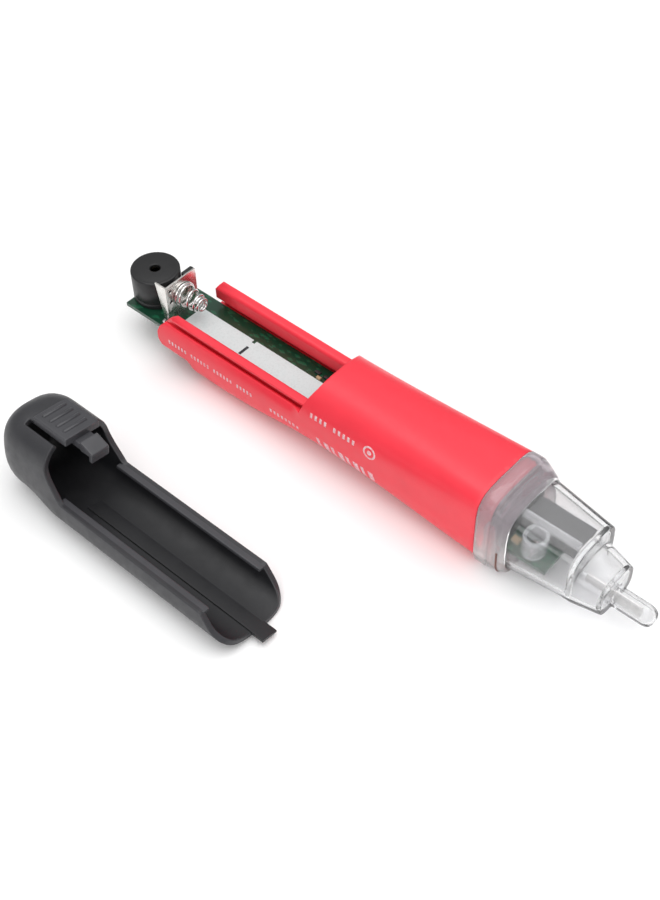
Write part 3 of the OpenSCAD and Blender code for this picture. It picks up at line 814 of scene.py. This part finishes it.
def striker_parts():
    """A tongue under the board, with the window that catches the latch's hook."""
    plate = block("striker_plate", (12.2, -3.5, 3.9), (27.2, 3.5, 5.1), red, r=0)
    window = block("striker_window", (13.4, -2.9, 3), (15.1, 2.9, 6), red, r=0)
    boolean(plate, window, "DIFFERENCE")
    web = block("striker_web", (25.4, -3.2, 0.9), (27.0, 3.2, 4.8), red, r=0.15)
    return [bevel(plate, 0.15), web]


def spigot():
    """The barrel's red neck, which the clear collar fits over."""
    stations = [(106.6, 1.5), (110.6, 1.5), (110.88, 1.62), (110.95, 1.85), (110.95, 2.2),
                (106.6, 2.3)]
    rows = ring_rows(lambda x, t: barrel_shape(COLLAR_X, t), stations)
    skin = Skin().grid(rows, closed=True, looped=True)
    return new_object("spigot", skin.points, skin.faces, material=red)


def posts():
    """Hollow posts that take the board's screws."""
    profile = [(0.95, 3.2), (1.9, 3.2), (1.9, 8.1), (1.75, 8.2), (1.0, 8.2), (0.95, 8.1)]
    return [lathe("post", profile, (x, y, 0), red, count=40) for x, y in POSTS]


barrel = join("barrel", [barrel_skin(), spigot(), *rail_parts(), *inner_ledges(),
                         *striker_parts(), *posts()])
place_on(barrel, "tester", "body_shell")


# ---- generic marks on the near side ----

INK_DEPTH = 0.03


def side_point(x, drop):
    """Point on the near side, drop millimetres of arc below the rail groove line."""
    arc = barrel_lower(x)
    run = run_along(arc)
    if drop < 0:
        arc = barrel_upper(x)
        run = -run_along(arc[::-1])[::-1]

    def at(d):
        return np.array([np.interp(d, run, arc[:, 0]), np.interp(d, run, arc[:, 1])])

    y, z = at(drop)
    ahead = at(drop + 0.2) - at(drop - 0.2)
    out = Vector((0, ahead[1], -ahead[0]))
    if out.length < 1e-6:
        out = Vector((0, -1, 0))
    out.normalize()
    if out.y > 0:
        out = -out
    return Vector((x, y, z)) + out * INK_DEPTH


def mark_bar(skin, x0, x1, d0, d1, lean=0.0):
    """A filled bar on the side, from x0 to x1 and from drop d0 to d1."""
    nx, nd = max(2, int((x1 - x0) / 0.5)), max(2, int((d1 - d0) / 0.4))
    skin.grid([[side_point(mix(x0, x1, i / nx) + lean * k / nd, mix(d0, d1, k / nd))
                for i in range(nx + 1)]
               for k in range(nd + 1)])


def mark_ring(skin, x, d, r_in, r_out, count=36):
    """A flat ring on the side about the point at x and drop d."""
    skin.grid([[side_point(x + r * math.cos(a), d + r * math.sin(a)) for a in circle(count)]
               for r in (r_in, (r_in + r_out) / 2, r_out)], closed=True)


def side_marks():
    """Ticks, bars and a dot in a ring where the print is. They say nothing."""
    skin = Skin()
    # three rows of small ticks, two of them with gaps
    for k in range(26):
        x = 17.6 + 1.06 * k
        if k % 7 != 6:
            mark_bar(skin, x, x + 0.5, 4.1, 5.2)
    for k in range(8):
        mark_bar(skin, 50.2 + 1.15 * k, 50.75 + 1.15 * k, 5.0, 6.1)
    for k in range(10):
        if k != 4:
            mark_bar(skin, 62.6 + 1.35 * k, 63.25 + 1.35 * k, -2.2, -0.9)
    # the dot in its ring, and a row of bold leaning bars
    ring_x, ring_drop = 79.6, -1.6
    mark_ring(skin, ring_x, ring_drop, 1.25, 1.7)
    mark_ring(skin, ring_x, ring_drop, 0.05, 0.6, 24)
    for k in range(8):
        mark_bar(skin, 64.2 + 2.15 * k, 65.1 + 2.15 * k + 0.5 * (k % 2), 4.4, 7.2, 0.5)
    obj = new_object("side_marks", skin.points, skin.faces, material=print_ink)
    solidify(obj, INK_DEPTH)
    place_on(obj, "tester")
    return obj


side_marks()


# ---- clear tip ----

# Outside of the collar, (x, depth below its section): two bands with a groove between them
COLLAR_OUTSIDE = [(108.05, 0.5), (108.12, 0.2), (108.4, 0.0), (109.6, -0.02), (111.0, 0.0),
                  (111.3, 0.06), (111.42, 0.32), (111.62, 0.34), (111.75, 0.16), (112.1, 0.12),
                  (113.4, 0.2), (114.6, 0.32), (115.1, 0.42), (115.38, 0.6), (115.5, 0.85)]


def collar():
    """A clear ring round the spigot's front and the cone's rear."""
    rows = ring_rows(collar_shape, COLLAR_OUTSIDE)
    rows += ring_rows(cone_shape, [(115.5, -0.2), (113.4, -0.2), (111.6, -0.2)])
    rows += ring_rows(lambda x, t: barrel_shape(COLLAR_X, t),
                      [(111.5, 1.38), (109.6, 1.38), (108.05, 1.38)])
    skin = Skin().grid(rows, closed=True, looped=True)
    obj = new_object("collar", skin.points, skin.faces, material=frost)
    place_on(obj, "tester", "collar_ring")


def solid_loft(name, shape_at, xs, t=0):
    """A solid through sections at each of xs, all t below the surface."""
    return capped(name, ring_rows(shape_at, [(x, t) for x in xs], 120))


def tongue_solid(name, x0, t):
    """The flat tongue from x0 to its round tip, t below the surface."""
    mid_z, r = sum(TONGUE_Z) / 2, (TONGUE_Z[1] - TONGUE_Z[0]) / 2 - t
    half = TONGUE_HALF_W - t
    rows = []
    for k in range(15):
        # seen from the side: a bar with a round end
        s = math.sin(math.pi / 2 * max(0, k - 2) / 12)
        x = mix(x0, TONGUE_TIP_X - t - r, min(1, k / 2)) + (r * s if k > 2 else 0)
        h = r * math.sqrt(max(0.0, 1 - s * s)) if k > 2 else r
        w = half * min(1.0, 0.35 + 0.65 * math.sqrt(max(0.0, 1 - s ** 6)))
        h = max(h, 0.15)
        section = (w, mid_z - h, mid_z + h, mid_z, 4, 4)
        rows.append([(x, y, z) for y, z in even_arc(section, 0, 2 * math.pi, 49)[:-1]])
    return capped(name, rows)


def tip():
    """One clear moulding: cone, nose and tongue, hollow inside and softened at every edge."""
    cone_x = np.linspace(COLLAR_BAND_X, CONE_FRONT_X, 16)
    nose_x = np.linspace(CONE_FRONT_X - 2, NOSE_FRONT_X, 6)
    hollow_x = [COLLAR_BAND_X - 1, *np.linspace(COLLAR_BAND_X + 1, CONE_FRONT_X - LENS_WALL, 10)]
    nose_hollow_x = np.linspace(CONE_FRONT_X - 3, NOSE_FRONT_X - LENS_WALL, 5)
    obj = solid_loft("tip", cone_shape, cone_x)
    boolean(obj, solid_loft("nose", nose_shape, nose_x), "UNION")
    boolean(obj, tongue_solid("tongue", CONE_FRONT_X, 0), "UNION")
    boolean(obj, solid_loft("hollow", cone_shape, hollow_x, LENS_WALL), "DIFFERENCE")
    boolean(obj, solid_loft("nose_hollow", nose_shape, nose_hollow_x, LENS_WALL), "DIFFERENCE")
    boolean(obj, tongue_solid("tongue_hollow", CONE_FRONT_X + 2, TONGUE_WALL), "DIFFERENCE")
    remesh = obj.modifiers.new("remesh", "REMESH")
    remesh.mode = "VOXEL"
    remesh.voxel_size = TIP_VOXEL * MM
    soften = obj.modifiers.new("soften", "SMOOTH")
    soften.factor = 0.5
    soften.iterations = 7
    thin = obj.modifiers.new("thin", "DECIMATE")
    thin.ratio = 0.35
    bake(obj)
    for p in obj.data.polygons:
        p.use_smooth = True
    obj.data.materials.clear()
    obj.data.materials.append(lens)
    place_on(obj, "tester", "tip_lens")


def seam():
    """The seal shows through the collar's front band, low on the near side."""
    arc = even_arc(collar_shape(SEAM_X, 0.24), math.pi + 0.02, 1.5 * math.pi - 0.2, 50)
    obj = tube("seam", [(SEAM_X, y, z) for y, z in arc], 0.22, rubber)
    place_on(obj, "tester")


collar()
seam()
tip()
dressed("light_divider", smoke, 0.25, 3)
dressed("light_pipe", pipe_clear, 0.15, 3)


# ---- board and its parts ----

# Wall of the buzzer's case, (radius, height above the board), with the hole in its top
BUZZER_WALL = [(1.25, 7.2), (1.25, 8.0), (1.45, 8.2), (5.1, 8.2), (5.3, 8.14), (5.5, 8.2),
               (5.72, 8.17), (5.9, 8.07), (6.0, 7.85), (6.0, 1.6), (5.93, 1.5), (6.0, 1.4),
               (6.0, 0.15), (5.9, 0.02), (5.2, 0.02), (5.2, 7.2)]


def buzzer():
    profile = [(r, h + BOARD_Z) for r, h in BUZZER_WALL]
    obj = lathe("buzzer_body", profile, (BUZZER_X, 0, 0), buzzer_black)
    bevel(obj, 0.06, 2, 40)
    place_on(obj, "tester", "buzzer_case")


def coil(name, x0, x1, r0, r1, turns, wire_r, flat=0.0):
    """A conical coil along X. flat is the share of it at each end that lies in one plane."""
    count = int(turns * STEPS_PER_TURN)
    path = []
    for k in range(count + 1):
        t = k / count
        a = 2 * math.pi * turns * t
        lay = smooth(flat, 1 - flat, t) if flat else t
        r = mix(r0, r1, t)
        path.append((mix(x0, x1, lay), r * math.cos(a), CELL_Z + r * math.sin(a)))
    return tube(name, path, wire_r, wire)


def battery_springs():
    """The fixed coil, and the end turn that the cell presses."""
    coils = coil("coil_spring", BRACKET_X + 0.42, BRACKET_X + 5.6, 3.0, 1.55, 4.4, WIRE_R, 0.12)
    place_on(coils, "tester", "battery_spring")
    last = coil("coil_end", BRACKET_X + 6.35, BRACKET_X + 6.45, 1.55, 1.45, 1.1, WIRE_R)
    place_on(last, "spring_end", "spring_cap")


def rear_silk():
    """The white patch printed under the battery."""
    obj = block("silk_patch", (15.4, -3.2, BOARD_Z), (32.7, 3.2, BOARD_Z + 0.085), white_ink,
                r=0.02)
    place_on(obj, "tester", "silk_rear")


buzzer()
battery_springs()
rear_silk()
dressed("spring_bracket", nickel, 0.09, 3)
dressed("front_contact", nickel, 0.09, 3)
dressed("rear_transistor", resin, 0.15, 3)
dressed("control_chip", resin, 0.05, 2)
dressed("indicator_led", led_clear, 0.12, 3)
dressed("smd_resistors", resin, 0.05, 2)
dressed("smd_capacitors", ceramic, 0.06, 2)
dressed("board_screws", screw_steel, 0.1, 2)
dressed("sensor_lead", tin, 0.08, 2)
dressed("sensor_plate", pale_foil, 0.06, 2)

# CAD pieces that are good as they are, with their materials
for node, material in {
    "circuit_board": mask, "silk_front": white_ink, "polarity_mark": black_ink,
    "buzzer_base": resin, "buzzer_disc": brass, "buzzer_pins": tin, "led_leads": tin,
    "solder_joints": tin, "seal_ring": rubber,
}.items():
    mesh = frame["nodes"][node].data
    for i in range(max(1, len(mesh.materials))):
        if i < len(mesh.materials):
            mesh.materials[i] = material
        else:
            mesh.materials.append(material)


# ---- cover ----

# Rows along the cup as shares of its length, close together at its rounded rear end
REAR_ROWS = [0.4 * (1 - math.cos(math.pi / 2 * k / 10)) for k in range(11)]
CUP_ROWS = REAR_ROWS + [0.42, 0.45, 0.478] + list(np.linspace(0.52, 1, 13))
# Rows at which the slits start, and between them the gap that the flap fills
SLIT_ROW, FLAP_ROW = len(REAR_ROWS), len(REAR_ROWS) + 2
# Columns of the cup from rim to rim: wall, slit, flap, slit, wall
CUP_COLS = (14, 3, 18, 3, 14)
CROWN_COLS = 56


def rim_angle(section):
    """Angle at which a section of the cover reaches its rim."""
    return angle_at(min(RIM_Z, section[2] - 1), section)


def cup_lower(x, t=0.0):
    """Belly side of the cup from the -y rim round to the +y rim, its columns set by the flap."""
    shape = cup_shape(x, t)
    a_rim = rim_angle(shape)
    square_down = shape[-1]
    slit, flap_side = [math.acos((half_w / CUP_HALF_W) ** (square_down / 2))
                       for half_w in (SLIT_HALF_W, FLAP_HALF_W)]
    bounds = [math.pi - a_rim, math.pi + slit, math.pi + flap_side,
              2 * math.pi - flap_side, 2 * math.pi - slit, 2 * math.pi + a_rim]
    pieces = [even_arc(shape, bounds[k], bounds[k + 1], c + 1) for k, c in enumerate(CUP_COLS)]
    arc = np.concatenate([pieces[0]] + [p[1:] for p in pieces[1:]])
    wide = crown_arc(x)[0][0] / even_rim(x)
    lift = np.clip((arc[:, 1] - 4) / (RIM_Z - 4), 0, 1) ** 2
    arc[:, 0] *= 1 + (wide - 1) * lift
    return arc


def even_rim(x):
    """Half width of the cup's own section at the rim."""
    shape = cup_shape(x)
    return section_points(np.array([rim_angle(shape)]), shape)[0][0]


def crown_arc(x):
    """Crown side of the cover from the +y rim over the crown to the -y rim."""
    arcs = []
    for shape in (cup_shape(x), TROUGH):
        a = rim_angle(shape)
        arcs.append(even_arc(shape, a, math.pi - a, CROWN_COLS + 1))
    return mix(arcs[0], arcs[1], smooth(-2.0, 11.0, x))


def soft_interp(z, heights, xs, reach):
    """Interpolated x at height z, its corners rounded over reach above and below."""
    around = [np.interp(z + d, heights, xs) for d in (-reach, -reach / 2, 0, reach / 2, reach)]
    return float(np.mean(around))


def mouth_x(z):
    """Front edge of the cup below the rim."""
    if z > RIM_Z - 0.05:
        return CUP_RIM_X
    return soft_interp(z, (-1, 7.5, 9.8, 11.4, RIM_Z),
                       (CUP_BELLY_X, CUP_BELLY_X, 8.1, 9.6, CUP_RIM_X), 0.8)


def front_x(z):
    """Front edge of the trough, whose walls end in a slope."""
    wall_end = COVER_FRONT_X - WALL_END_LEN
    if z < RIM_Z + 0.05:
        return wall_end
    return soft_interp(z, (RIM_Z, BARREL_H - 2.4, BARREL_H - 0.8, BARREL_H),
                       (wall_end, COVER_FRONT_X - 2.1, COVER_FRONT_X - 0.3, COVER_FRONT_X), 0.6)


def cover_skin():
    """The cup's lower half with its slits, the crown all along, and the flat rear end."""
    skin = Skin()
    ends = [mouth_x(z) for y, z in cup_lower(5.0)]
    lower = []
    for u in CUP_ROWS:
        xs = [mix(COVER_REAR_X, e, u) for e in ends]
        lower.append([(x, *cup_lower(x)[i]) for i, x in enumerate(xs)])
    cols = np.cumsum((0,) + CUP_COLS)

    def keep(k, i):
        in_slit = cols[1] <= i < cols[2] or cols[3] <= i < cols[4]
        in_flap = cols[2] <= i < cols[3]
        return not ((in_slit and k >= SLIT_ROW) or (in_flap and k >= FLAP_ROW))

    skin.grid(lower, keep)
    crown = []
    for u in CUP_ROWS:
        x = mix(COVER_REAR_X, CUP_RIM_X, u)
        crown.append([(x, y, z) for y, z in crown_arc(x)])
    front = [front_x(z) for y, z in crown_arc(40.0)]
    for v in list(np.linspace(0, 1, 46))[1:]:
        xs = [mix(CUP_RIM_X, f, v) for f in front]
        crown.append([(x, *crown_arc(x)[i]) for i, x in enumerate(xs)])
    skin.grid(crown)
    # flat rear end
    ring = lower[0][:-1] + crown[0][:-1]
    centre = np.mean(np.array(ring), axis=0)
    cap = [[tuple(centre + (np.array(p) - centre) * share) for p in ring]
           for share in (1, 0.8, 0.5, 0.2, 0)]
    skin.grid(cap, closed=True)
    obj = new_object("cover_skin", skin.points, skin.faces, COVER, grey)
    solidify(obj, COVER_WALL)
    # the inner faces take the darker copy, painted shade
    obj.data.materials.append(painted_shade_grey)
    obj.modifiers["wall"].material_offset = 1
    return bevel(obj, 0.32, 3, 50)


def cover_ribs():
    """A ledge along each rim, and the strip under the crown that ends in the front tab."""
    low, high = RIM_Z + 0.12, RIM_Z + 0.95
    parts = []
    for side in (-1, 1):
        rib = rounded([(7.25 * side, low), (7.25 * side, high), (8.9 * side, high),
                       (9.1 * side, low)], [0.3, 0.2, 0, 0])
        parts.append(sweep("rim_ledge", rib[::side], CUP_RIM_X - 0.9, COVER_FRONT_X - 6.9,
                           flap_grey, COVER))
    strip = rounded([(-2.1, 20.22), (2.1, 19.85), (2.1, 20.75), (-2.1, 20.75)], 0.15)
    # the strip under the crown takes the darker copy too, painted shade
    parts.append(sweep("strip_and_tab", strip, CUP_RIM_X, COVER_FRONT_X + TAB_LEN, painted_shade_grey,
                       COVER))
    return parts


cover = join("cover", [cover_skin(), *cover_ribs()])
place_on(cover, "cover", "cover_shell")


def flap():
    """The latch: a ribbed plate in the cup's slot, then a stem with a hook and a nub."""
    plate = rounded([(-FLAP_HALF_W, 0.35), (FLAP_HALF_W, 0.35), (FLAP_HALF_W, 2.3),
                     (-FLAP_HALF_W, 2.3)], [0.55, 0.55, 0.3, 0.3])
    parts = [sweep("flap_plate", plate, FLAP_ROOT_X, FLAP_FRONT_X, flap_grey, COVER, 0.3, 2)]
    rib = [(0.5 * math.cos(a), 0.42 * math.sin(a)) for a in np.linspace(0, 2 * math.pi, 17)[:-1]]
    for k in range(4):
        x = FLAP_ROOT_X + 1.5 + 2.2 * k
        rows = [[(x + p * f, y, 0.45 + q * f) for p, q in rib]
                for y, f in ((-3.25, 0.4), (-3.0, 1), (0, 1), (3.0, 1), (3.25, 0.4))]
        parts.append(capped("flap_rib", rows, COVER, flap_grey))
    stem = [(-2.2, 1.9), (2.2, 1.9), (2.2, 3.5), (-2.2, 3.5)]
    parts.append(sweep("flap_stem", stem, FLAP_FRONT_X - 1.2, 11.7, flap_grey, COVER, 0.2, 1))
    hook = ((10.9, 1.0), (14.7, 2.4), (14.7, 3.5), (10.9, 3.5))
    points = [(x, y, z) for y in (-2.4, 2.4) for x, z in hook]
    faces = [(0, 1, 2, 3), (7, 6, 5, 4), (0, 4, 5, 1), (1, 5, 6, 2), (2, 6, 7, 3), (3, 7, 4, 0)]
    parts.append(bevel(new_object("flap_hook", points, faces, COVER, flap_grey), 0.25, 3, 30))
    nub = [(-2.4, 3.0), (2.4, 3.0), (2.4, 4.8), (-2.4, 4.8)]
    parts.append(sweep("flap_nub", nub, 13.6, 14.6, flap_grey, COVER, 0.18, 1))
    place_on(join("flap", parts), "latch", "latch_flap")


flap()


# ---- floor, light and camera ----
# Lengths here are metres, but the camera's place is millimetres in the tester's frame.

FLOOR_HALF = 3.0
FLOOR_WHITES = ((0.965, 0.965, 0.965), (0.98, 0.98, 0.98))
SKY = ((0.0, (0.35, 0.35, 0.36)), (0.25, (0.5, 0.5, 0.5)), (0.8, (1, 1, 1)))
SKY_STRENGTH = 0.68
TOP_WATTS = 5.4
SIDE_WATTS = 1.8
CAMERA_LENS = 55.73
CAMERA_PLACE = (205.91, -157.98, 239.12)
# Degrees below level, round from +x, and rolled
CAMERA_TURN = (48.85, 132.93, -1.8)


def floor():
    mesh = bpy.data.meshes.new("floor")
    corners = [(FLOOR_HALF * i, FLOOR_HALF * j, 0) for i, j in ((-1, -1), (1, -1), (1, 1), (-1, 1))]
    mesh.from_pydata(corners, [], [(0, 1, 2, 3)])
    obj = bpy.data.objects.new("floor", mesh)
    bpy.context.scene.collection.objects.link(obj)
    m, tree, b = shader("floor_paint", (0.93, 0.93, 0.93), 0.9, Specular_IOR_Level=0.1)
    cloud = noise(tree, 6, 2)
    tone = ramp(tree, cloud.outputs["Fac"], list(zip((0.3, 0.7), FLOOR_WHITES)))
    tree.links.new(tone.outputs["Color"], b.inputs["Base Color"])
    mesh.materials.append(m)


def area_light(name, place, aim, size, power):
    """A rectangular lamp that faces the point aim."""
    data = bpy.data.lights.new(name, "AREA")
    data.shape = "RECTANGLE"
    data.size, data.size_y = size
    data.energy = power
    obj = bpy.data.objects.new(name, data)
    bpy.context.scene.collection.objects.link(obj)
    obj.location = place
    obj.rotation_euler = (Vector(aim) - Vector(place)).to_track_quat("-Z", "Y").to_euler()


def studio():
    """A white room brighter above, with a big lamp overhead and one to the near side."""
    world = bpy.data.worlds.new("studio")
    world.use_nodes = True
    tree = world.node_tree
    coord = tree.nodes.new("ShaderNodeTexCoord")
    split = tree.nodes.new("ShaderNodeSeparateXYZ")
    tree.links.new(coord.outputs["Generated"], split.inputs["Vector"])
    sky = ramp(tree, split.outputs["Z"], SKY)
    tree.links.new(sky.outputs["Color"], tree.nodes["Background"].inputs["Color"])
    tree.nodes["Background"].inputs["Strength"].default_value = SKY_STRENGTH
    bpy.context.scene.world = world
    area_light("top", (0.05, 0.05, 0.8), (0, 0, 0), (1.0, 1.0), TOP_WATTS)
    area_light("side", (0.25, -0.75, 0.4), (0, -0.02, 0.01), (0.7, 0.4), SIDE_WATTS)
    bpy.context.scene.view_settings.view_transform = "Standard"


def camera():
    """Matches the view of the object: 49 degrees down, seen from its tip and cover side."""
    data = bpy.data.cameras.new("camera")
    data.sensor_fit = "VERTICAL"
    data.sensor_height = 36
    data.lens = CAMERA_LENS
    data.clip_start = 0.01
    obj = bpy.data.objects.new("camera", data)
    bpy.context.scene.collection.objects.link(obj)
    pitch, yaw, roll = [math.radians(a) for a in CAMERA_TURN]
    ahead = Vector((math.cos(pitch) * math.cos(yaw), math.cos(pitch) * math.sin(yaw),
                    -math.sin(pitch)))
    right = Vector((math.sin(yaw), -math.cos(yaw), 0))
    up = right.cross(ahead)
    turned = right * math.cos(roll) + up * math.sin(roll)
    up = up * math.cos(roll) - right * math.sin(roll)
    m = Matrix((turned, up, -ahead)).transposed().to_4x4()
    m.translation = Vector(CAMERA_PLACE) * MM + ORIGIN
    obj.matrix_world = m
    bpy.context.scene.camera = obj


floor()
studio()
camera()
